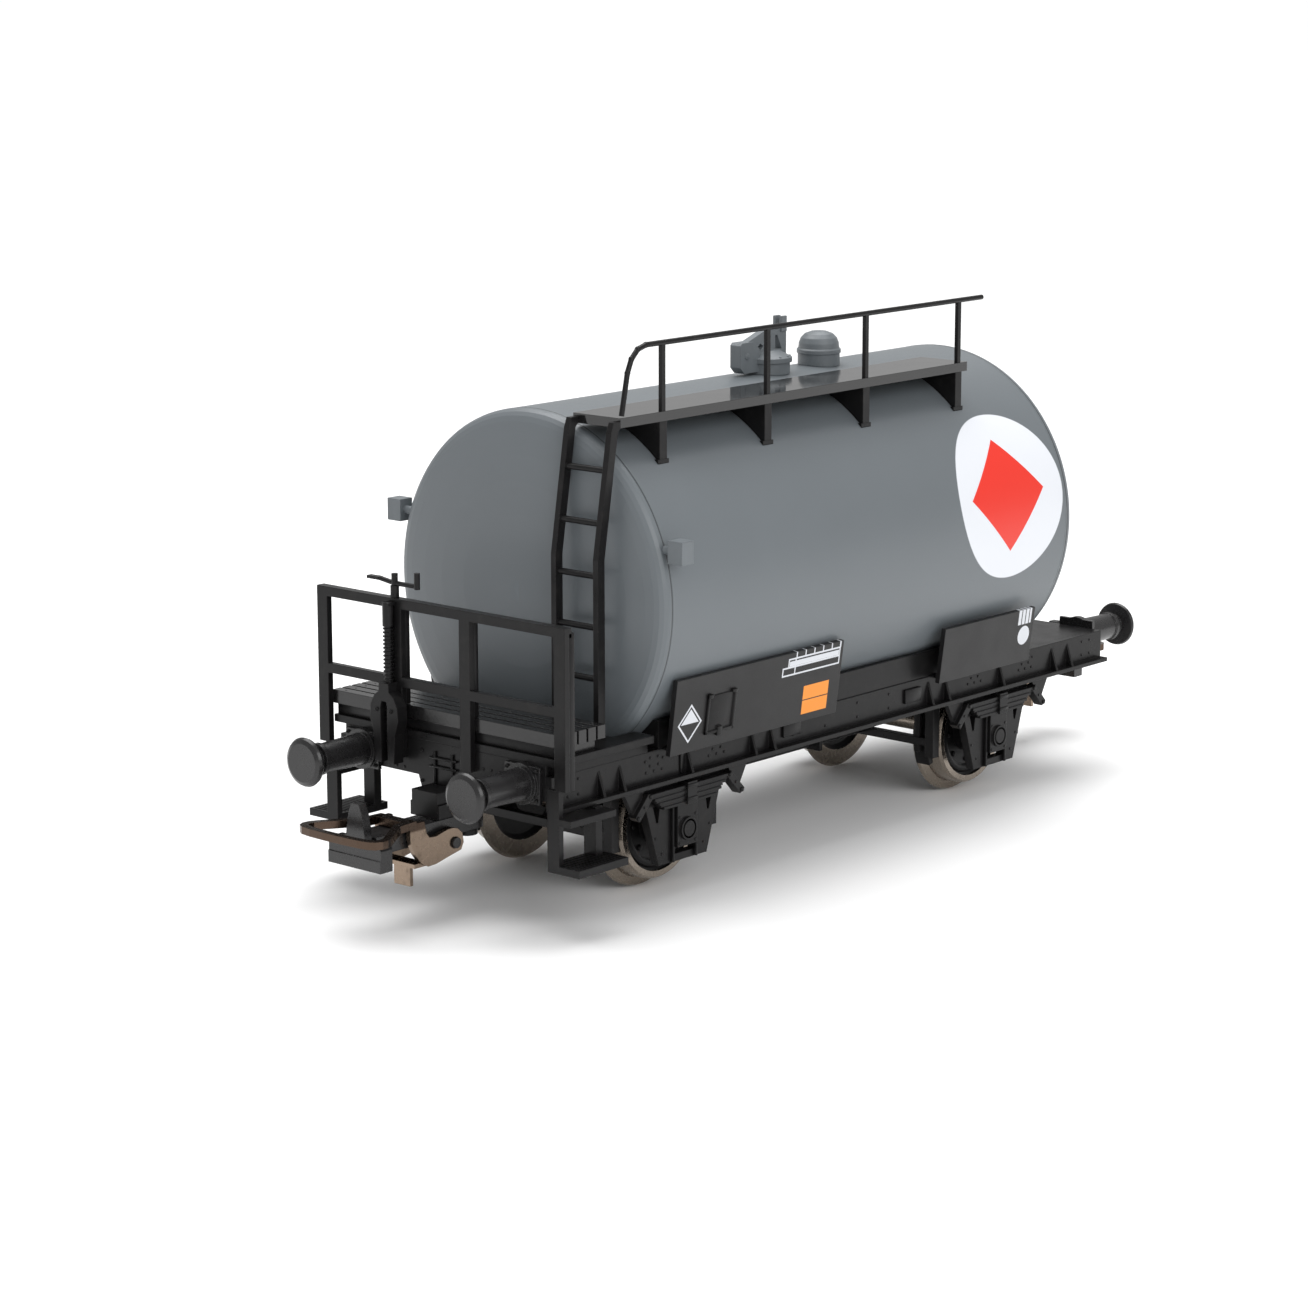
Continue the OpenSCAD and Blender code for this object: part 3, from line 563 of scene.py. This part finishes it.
class WAGON_OT_tank_seams(bpy.types.Operator):
    """Adds the raised lips at the tank seams"""
    bl_idname = "wagon.tank_seams"
    bl_label = "Tank seams"

    def execute(self, context):
        w = context.scene.wagon_sizes.seam_width
        bm = bmesh.new()
        r = TANK_R
        for x, s in ((BARREL_LO.x, 1), (BARREL_HI.x, -1)):
            lathe(bm, (x, 0, TANK_Z), (s, 0, 0), [
                (r - 0.1, 0.10), (r + 0.005, 0.12), (r + 0.015, 0.16), (r + 0.015, w),
                (r + 0.003, w + 0.08), (r - 0.1, w + 0.1)], steps=160)
        cut = bmesh.ops.bisect_plane(
            bm, geom=bm.verts[:] + bm.edges[:] + bm.faces[:], dist=1e-5,
            plane_co=(0, 0, BARREL_LO.z + 0.02), plane_no=(0, 0, -1), clear_outer=True)
        rim = [e for e in cut["geom_cut"] if isinstance(e, bmesh.types.BMEdge)]
        bmesh.ops.holes_fill(bm, edges=rim, sides=0)
        piece("tank_seam_lips", bm, "wagon", stock("tank_paint"))
        return {"FINISHED"}


class WAGON_OT_hatch(bpy.types.Operator):
    """Adds bolts and a hinge pin to the manhole, and bolts to the vent"""
    bl_idname = "wagon.hatch"
    bl_label = "Manhole fittings"

    def execute(self, context):
        hinge_x = span("manhole_hatch")[0].x + 1.0
        top = TANK_Z + TANK_R
        bm = bmesh.new()
        # no bolts by the hinge or opposite it
        for degrees in (45, 75, 105, 135, 225, 255, 285, 315):
            a = math.radians(degrees)
            at = (HATCH_X + HATCH_BOLT_R * math.cos(a), HATCH_BOLT_R * math.sin(a), top + 1.62)
            rivet(bm, at, (0, 0, 1), 0.14)
        pin(bm, (hinge_x, -0.72, top + 1.9), (hinge_x, 0.72, top + 1.9), 0.34)
        for k in range(8):
            a = math.radians(22.5 + 45 * k)
            at = (VENT_X + VENT_BOLT_R * math.cos(a), VENT_BOLT_R * math.sin(a), top + 1.35)
            rivet(bm, at, (math.cos(a), math.sin(a), 0), 0.1)
        piece("hatch_fittings", bm, "wagon", stock("fitting_grey"))
        return {"FINISHED"}


class WAGON_OT_sole_bars(bpy.types.Operator):
    """Adds rivets, label clips and a strap to both sole bars"""
    bl_idname = "wagon.sole_bars"
    bl_label = "Sole bar rivets"

    # rivets over each spring bracket, from its middle and the bar's top edge
    cluster = (
        (-1.2, -0.7), (-0.55, -1.2), (-0.5, -0.45), (0.55, -0.45), (0.6, -1.2),
        (1.25, -0.7), (0.0, -1.75), (1.1, -1.75), (-1.1, -1.75),
    )

    def execute(self, context):
        r = context.scene.wagon_sizes.rivet_radius
        face = FRAME_LO.y + 0.9
        top, bottom = FRAME_HI.z, FRAME_LO.z
        for side, name in ((-1, "right"), (1, "left")):
            y = -face * side
            n = (0, side, 0)
            bm = bmesh.new()
            for mid in (-AXLE_X - 4.6, -AXLE_X + 4.2, AXLE_X - 4.2, AXLE_X + 4.6):
                for dx, dz in self.cluster:
                    rivet(bm, (mid + dx, y, top + dz - 0.15), n, r)
            for x in (-40.6, -39.2, -9.0, -4.0, 1.0, 6.0, 39.2, 40.6):
                rivet(bm, (x, y, top - 0.7), n, r)
                rivet(bm, (x, y, bottom + 1.1), n, r)
            for x in (-10.6, 8.4):
                slab(bm, (x, x + 2.6), (y, y + side * 0.25), (top - 2.1, top - 0.7), 0.08)
            slab(bm, (-25.45, -25.15), (y, y + side * 0.16), (bottom + 0.42, top - 0.1), 0.05)
            piece("sole_bar_rivets_" + name, bm, "wagon", stock("frame_plastic"))
        return {"FINISHED"}


class WAGON_OT_running_gear(bpy.types.Operator):
    """Adds axle box covers, guide rails, link bolts and spring buckles on both sides"""
    bl_idname = "wagon.running_gear"
    bl_label = "Running gear"

    def execute(self, context):
        out = span("axle_guards_right")[0].y
        spring_y = span("leaf_springs_right")[0].y
        for side, name in ((-1, "right"), (1, "left")):
            bm = bmesh.new()
            y = out * -side
            n = Vector((0, side, 0))
            plate = (out + 0.85) * -side
            sy = spring_y * -side - side * 0.2
            for x in (-AXLE_X, AXLE_X):
                # round cover with a rim, standing inside the box's own depth
                lathe(bm, (x, y - side * 0.14, AXLE_Z), n, [
                    (0.0, 0.0), (1.0, 0.0), (1.0, 0.1), (0.92, 0.14), (0.74, 0.14),
                    (0.68, 0.06), (0.3, 0.06), (0.24, 0.12), (0.0, 0.13)], steps=32)
                for dx, dz in ((-1.12, -1.3), (1.12, -1.3), (-1.12, 1.2), (1.12, 1.2)):
                    rivet(bm, (x + dx, y - side * 0.27, AXLE_Z + dz), n, 0.17)
                # rivets of the guard's plate
                for dx, dz in ((3.0, -2.0), (4.4, 3.2), (3.9, -0.4)):
                    for s in (-1, 1):
                        rivet(bm, (x + s * dx * 0.98, plate, AXLE_Z + dz), n, 0.15)
                # guide rails beside the box
                for s in (-1, 1):
                    rail = x + s * 1.62
                    slab(bm, (rail - 0.13, rail + 0.13), (plate, plate + side * 0.34),
                         (AXLE_Z - 3.0, AXLE_Z + 3.4), 0.05)
                # bolts of the slanted links at both ends of the spring
                for s in (-1, 1):
                    for dx, dz in ((5.6, -0.85), (7.3, -2.6)):
                        rivet(bm, (x + s * dx, sy, FRAME_LO.z + dz), n, 0.24)
                    rivet(bm, (x + s * 6.45, sy, FRAME_LO.z - 1.72), n, 0.16)
                # buckles round the spring's middle
                for z in (FRAME_LO.z - 0.75, FRAME_LO.z - 2.0):
                    slab(bm, (x - 0.72, x + 0.72), (sy, sy + side * 0.28), (z - 0.16, z + 0.16), 0.05)
            piece("axle_box_covers_" + name, bm, "wagon", stock("frame_plastic"))
        return {"FINISHED"}


class WAGON_OT_wheels(bpy.types.Operator):
    """Adds raised rims and a ring of studs to the wheel faces"""
    bl_idname = "wagon.wheels"
    bl_label = "Wheel faces"

    def execute(self, context):
        face = WHEEL_HI.y - 0.6
        stud_ring = 3.05
        for body, x in (("wheelset_front", -AXLE_X), ("wheelset_rear", AXLE_X)):
            bm = bmesh.new()
            for s in (-1, 1):
                lathe(bm, (x, s * (face - 0.1), AXLE_Z), (0, s, 0), [
                    (3.55, 0.0), (4.3, 0.0), (4.3, 0.32), (4.1, 0.42), (3.8, 0.42), (3.6, 0.3)], steps=56)
                for k in range(8):
                    a = math.tau * k / 8
                    at = (x + stud_ring * math.cos(a), s * face, AXLE_Z + stud_ring * math.sin(a))
                    rivet(bm, at, (0, s, 0), 0.3)
            piece(body + "_rims", bm, body, stock("frame_plastic"))
        return {"FINISHED"}


class WAGON_OT_brakes(bpy.types.Operator):
    """Adds brake blocks, hangers with their bolts, pull rods and cross beams"""
    bl_idname = "wagon.brakes"
    bl_label = "Brake rigging"

    def execute(self, context):
        y_mid = WHEEL_HI.y - 1.6
        pad_r = 6.2
        for end, x0 in (("front", -AXLE_X), ("rear", AXLE_X)):
            bm = bmesh.new()
            bolts = bmesh.new()
            for s in (-1, 1):
                for side in (-1, 1):
                    y = side * y_mid
                    # curved block: three short pads set round the tread
                    for a in (-16, 0, 16):
                        t = math.radians(a)
                        px = x0 + s * pad_r * math.cos(t)
                        pz = AXLE_Z + pad_r * math.sin(t)
                        block(bm, (px - 0.36, y - 0.85, pz - 0.95), (px + 0.36, y + 0.85, pz + 0.95),
                              0.1, Matrix.Rotation(-s * t, 3, "Y"))
                    hanger = x0 + s * 6.9
                    slab(bm, (hanger - 0.3, hanger + 0.3), (y - 0.35, y + 0.35),
                         (AXLE_Z - 1.2, FRAME_LO.z + 0.8), 0.1)
                    pin(bolts, (hanger, y - 0.62, AXLE_Z - 0.2), (hanger, y + 0.62, AXLE_Z - 0.2), 0.2)
            piece("brake_blocks_" + end, bm, "wagon", stock("frame_plastic"))
            piece("brake_bolts_" + end, bolts, "wagon", stock("copper_bolt"))
        bm = bmesh.new()
        for y in (-1.4, 1.1):
            pin(bm, (-AXLE_X + 7.2, y, AXLE_Z + 0.1), (AXLE_X - 7.2, y, AXLE_Z + 0.1), 0.28)
        for x in (-8.6, 8.9):
            block(bm, (x - 0.25, -2.6, AXLE_Z - 0.5), (x + 0.25, 2.2, AXLE_Z + 0.7), 0.1)
        piece("brake_pull_rods", bm, "wagon", stock("frame_plastic"))
        return {"FINISHED"}


class WAGON_OT_brake_column(bpy.types.Operator):
    """Adds the screw thread, the threaded rod below it and the nuts of the hand brake"""
    bl_idname = "wagon.brake_column"
    bl_label = "Hand brake column"

    def execute(self, context):
        x, y = span("end_railing")[0].x - 0.5, BRAKE_Y
        bm = bmesh.new()
        for k in range(14):
            lathe(bm, (x, y, 20.9 + k * 0.36), (0, 0, 1), [
                (0.25, 0.0), (0.48, 0.05), (0.48, 0.15), (0.25, 0.2)], steps=20)
        pin(bm, (x, y, 14.2), (x, y, 19.6), 0.27, sides=16)
        for k in range(11):
            lathe(bm, (x, y, 15.1 + k * 0.32), (0, 0, 1), [
                (0.2, 0.0), (0.34, 0.06), (0.34, 0.16), (0.2, 0.22)], steps=20)
        block(bm, (x - 0.42, y - 0.5, 27.8), (x + 0.49, y + 0.5, 28.1), 0.08)
        for s in (-1, 1):
            hex_nut(bm, (x - 0.68, y + s * 0.9, 18.2), (-1, 0, 0), 0.22, 0.12)
        piece("brake_screw", bm, "wagon", stock("frame_plastic"))
        return {"FINISHED"}


class WAGON_OT_boards(bpy.types.Operator):
    """Adds the card holder and the clips on the number boards"""
    bl_idname = "wagon.boards"
    bl_label = "Number board fittings"

    def execute(self, context):
        foot_y, foot_z = FRAME_LO.y - 0.75, FRAME_HI.z - 0.35
        for side, name in ((-1, "right"), (1, "left")):
            bm = bmesh.new()

            def leaf(x0, x1, z0, z1, out=0.2):
                z0, z1 = z0 - foot_z, z1 - foot_z
                block(bm, (x0, -0.03 - out, z0), (x1, 0.06, z1), 0.05)

            leaf(-24.1, -20.3, 15.6, 19.2, 0.08)
            leaf(-24.2, -23.95, 15.5, 19.3)
            leaf(-20.5, -20.2, 15.5, 19.3)
            leaf(-24.2, -20.2, 15.5, 15.8)
            leaf(-22.6, -21.9, 15.2, 16.1, 0.28)
            leaf(-24.2, -23.6, 19.0, 19.4, 0.26)
            leaf(-20.9, -20.2, 19.1, 19.4, 0.26)
            swing = Matrix.Translation((0, foot_y, foot_z)) @ Matrix.Rotation(BOARD_LEAN, 4, "X")
            bmesh.ops.transform(bm, matrix=swing, verts=bm.verts)
            if side == 1:
                bmesh.ops.transform(bm, matrix=Matrix.Diagonal((1, -1, 1, 1)), verts=bm.verts)
            piece("card_holder_" + name, bm, "wagon", stock("frame_plastic"))
        return {"FINISHED"}


class WAGON_OT_ends(bpy.types.Operator):
    """Adds bolts and rivets to the headstocks and buffer bases, and a barred draw gear cover"""
    bl_idname = "wagon.ends"
    bl_label = "Headstock fittings"

    def execute(self, context):
        buf_lo, buf_hi = span("buffers_front")
        z = (buf_lo.z + buf_hi.z) / 2
        for s, name in ((-1, "front"), (1, "rear")):
            x = s * -FRAME_LO.x
            bm = bmesh.new()
            for side in (-1, 1):
                for dy, dz in ((-1.75, -1.35), (1.75, -1.35), (-1.75, 1.35), (1.75, 1.35)):
                    hex_nut(bm, (x + s * 0.4, side * BUFFER_Y + dy, z + dz), (s, 0, 0), 0.2, 0.16)
                for dy in (5.0, 6.0, 7.0):
                    rivet(bm, (x, side * dy, z - 1.0), (s, 0, 0), 0.16)
                    rivet(bm, (x, side * dy, z + 0.4), (s, 0, 0), 0.16)
            # draw gear cover: two upright bars tied by three cross bars
            for dy in (-1.2, 1.0):
                pin(bm, (x + s * 0.12, dy, z - 2.3), (x + s * 0.12, dy, z + 1.1), 0.14, sides=12)
            for dz in (-2.1, -0.3, 0.5):
                pin(bm, (x + s * 0.16, -1.8, z + dz), (x + s * 0.16, 1.6, z + dz), 0.12, sides=12)
            for dy in (-2.9, 2.7):
                for dz in (-1.9, 0.9):
                    hex_nut(bm, (x, dy, z + dz), (s, 0, 0), 0.18, 0.12)
            piece("headstock_bolts_" + name, bm, "wagon", stock("frame_plastic"))
        return {"FINISHED"}


class WAGON_OT_couplers(bpy.types.Operator):
    """Adds the pivot ends that show in the side plates of both loops"""
    bl_idname = "wagon.couplers"
    bl_label = "Coupler fittings"

    def execute(self, context):
        for name in ("front", "rear"):
            joint = next(j for j in frame["joints"] if j["child"] == "loop_" + name)
            at = Vector(joint["pos_m"]) / MM
            bm = bmesh.new()
            for side in (-1, 1):
                pin(bm, (at.x, side * 2.1, at.z), (at.x, side * 2.31, at.z), 0.5, sides=28)
            piece("coupler_caps_" + name, bm, "coupler_" + name, stock("hook_black"))
        return {"FINISHED"}


class WAGON_OT_steps(bpy.types.Operator):
    """Adds tread ribs to the steps and nails to the platform planks"""
    bl_idname = "wagon.steps"
    bl_label = "Step treads"

    def execute(self, context):
        for side, name in ((-1, "right"), (1, "left")):
            lo = span("steps_" + name)[0]
            bm = bmesh.new()
            for k in range(14):
                x = lo.x + 0.35 + k * 0.44
                slab(bm, (x, x + 0.16), (side * 13.6, side * 16.8), (lo.z + 0.66, lo.z + 0.76), 0.03)
            piece("step_treads_" + name, bm, "wagon", stock("frame_plastic"))
        bm = bmesh.new()
        lo, hi = span("platform_deck")
        for k in range(5):
            for y in (-13.2, -4.4, 4.2, 13.0):
                rivet(bm, (lo.x + 0.5 + k * 1.25, y, hi.z - 0.02), (0, 0, 1), 0.12)
        piece("plank_nails", bm, "wagon", stock("plank_plastic"))
        return {"FINISHED"}


class WAGON_OT_platform(bpy.types.Operator):
    """Adds the rear flanges of the railing's angle posts and the board under the planks"""
    bl_idname = "wagon.platform"
    bl_label = "Platform angles"

    def execute(self, context):
        rail_lo, rail_hi = span("end_railing")
        deck_lo, deck_hi = span("platform_deck")
        back = rail_lo.x + 0.55
        top = rail_hi.z - 0.5
        bm = bmesh.new()
        for side in (-1, 1):
            # the corner posts' flanges run the whole height outside the planks
            edge = rail_hi.y * side
            slab(bm, (back, back + 0.75), (edge, edge - side * 0.32), (rail_lo.z, top))
        for y in (-4.0, 4.6):
            slab(bm, (back, back + 0.6), (y, y + 0.32), (deck_hi.z + 0.02, top))
        block(bm, (deck_lo.x + 0.35, deck_lo.y + 0.3, deck_lo.z),
              (deck_lo.x + 0.7, deck_hi.y - 0.3, deck_hi.z - 1.2), 0.05)
        piece("platform_angles", bm, "wagon", stock("frame_plastic"))
        return {"FINISHED"}


class WAGON_OT_stage(bpy.types.Operator):
    """Makes the pale floor, the soft lights and the camera"""
    bl_idname = "wagon.stage"
    bl_label = "Stage"

    def execute(self, context):
        scene = context.scene
        bm = bmesh.new()
        bmesh.ops.create_grid(bm, x_segments=2, y_segments=2, size=6.0)
        mesh = bpy.data.meshes.new("floor")
        bm.to_mesh(mesh)
        bm.free()
        floor = bpy.data.objects.new("floor", mesh)
        scene.collection.objects.link(floor)
        f = Finish("floor_paper", roughness=0.8)
        white = (1.0, 1.0, 1.0)
        f.put("Base Color", f.mix(f.noise(30.0, 2.0), rgba(white, 0.92), rgba(white, 0.95)))
        # the far floor glows a little, so that it stays as pale as the lit part
        x, y = f.axes()[:2]
        glow = (x * x + y * y).root().ramp(150.0, 800.0) * 0.5
        f.put("Emission Color", f.mix(glow, rgba(white, 0.0), rgba(white)))
        f.put("Emission Strength", 1.0)
        mesh.materials.append(f.material)

        world = bpy.data.worlds.new("studio")
        scene.world = world
        world.use_nodes = True
        background = world.node_tree.nodes["Background"]
        background.inputs["Color"].default_value = rgba(white)
        background.inputs["Strength"].default_value = 0.55

        def lamp(name, at, aim, size, power):
            data = bpy.data.lights.new(name, "AREA")
            data.shape = "RECTANGLE"
            data.size, data.size_y = size
            data.energy = power
            obj = bpy.data.objects.new(name, data)
            scene.collection.objects.link(obj)
            obj.location = at
            obj.rotation_mode = "QUATERNION"
            obj.rotation_quaternion = (Vector(aim) - Vector(at)).to_track_quat("-Z", "Y")

        lamp("top_light", (0.05, 0.10, 0.45), (0, 0, 0.02), (0.5, 0.4), 2.6)
        lamp("side_light", (-0.15, -0.50, 0.28), (0, 0, 0.02), (0.5, 0.3), 1.5)

        data = bpy.data.cameras.new("camera")
        data.sensor_width = 36.0
        data.lens = CAMERA_LENS
        data.clip_start, data.clip_end = 0.01, 20.0
        data.dof.use_dof = False
        cam = bpy.data.objects.new("camera", data)
        scene.collection.objects.link(cam)
        cam.location = CAMERA_AT
        back = Vector(cam.location) - Vector(CAMERA_AIM)
        turn = back.to_track_quat("Z", "Y").to_matrix().to_4x4()
        cam.rotation_mode = "QUATERNION"
        cam.rotation_quaternion = (turn @ Matrix.Rotation(CAMERA_ROLL, 4, "Z")).to_quaternion()
        scene.camera = cam
        scene.view_settings.view_transform = "Standard"
        return {"FINISHED"}


OPERATORS = (
    WAGON_OT_finishes, WAGON_OT_tank_seams, WAGON_OT_hatch, WAGON_OT_sole_bars,
    WAGON_OT_running_gear, WAGON_OT_wheels, WAGON_OT_brakes, WAGON_OT_brake_column,
    WAGON_OT_boards, WAGON_OT_ends, WAGON_OT_couplers, WAGON_OT_steps, WAGON_OT_platform,
    WAGON_OT_stage,
)


class WAGON_PT_sidebar(bpy.types.Panel):
    """Settings and steps for the tank wagon"""
    bl_idname = "WAGON_PT_sidebar"
    bl_label = "Tank Wagon"
    bl_space_type = "VIEW_3D"
    bl_region_type = "UI"
    bl_category = "Tank Wagon"

    def draw(self, context):
        column = self.layout.column()
        for group in (context.scene.wagon_colours, context.scene.wagon_sizes):
            for key in group.__annotations__:
                column.prop(group, key)
        for operator in OPERATORS:
            column.operator(operator.bl_idname)


def register():
    for cls in (WagonColours, WagonSizes, *OPERATORS, WAGON_PT_sidebar):
        bpy.utils.register_class(cls)
    bpy.types.Scene.wagon_colours = bpy.props.PointerProperty(type=WagonColours)
    bpy.types.Scene.wagon_sizes = bpy.props.PointerProperty(type=WagonSizes)


def unregister():
    del bpy.types.Scene.wagon_colours
    del bpy.types.Scene.wagon_sizes
    for cls in (WAGON_PT_sidebar, *reversed(OPERATORS), WagonSizes, WagonColours):
        bpy.utils.unregister_class(cls)


def main():
    register()
    for operator in OPERATORS:
        group, name = operator.bl_idname.split(".")
        getattr(getattr(bpy.ops, group), name)()


if __name__ == "__main__":
    main()
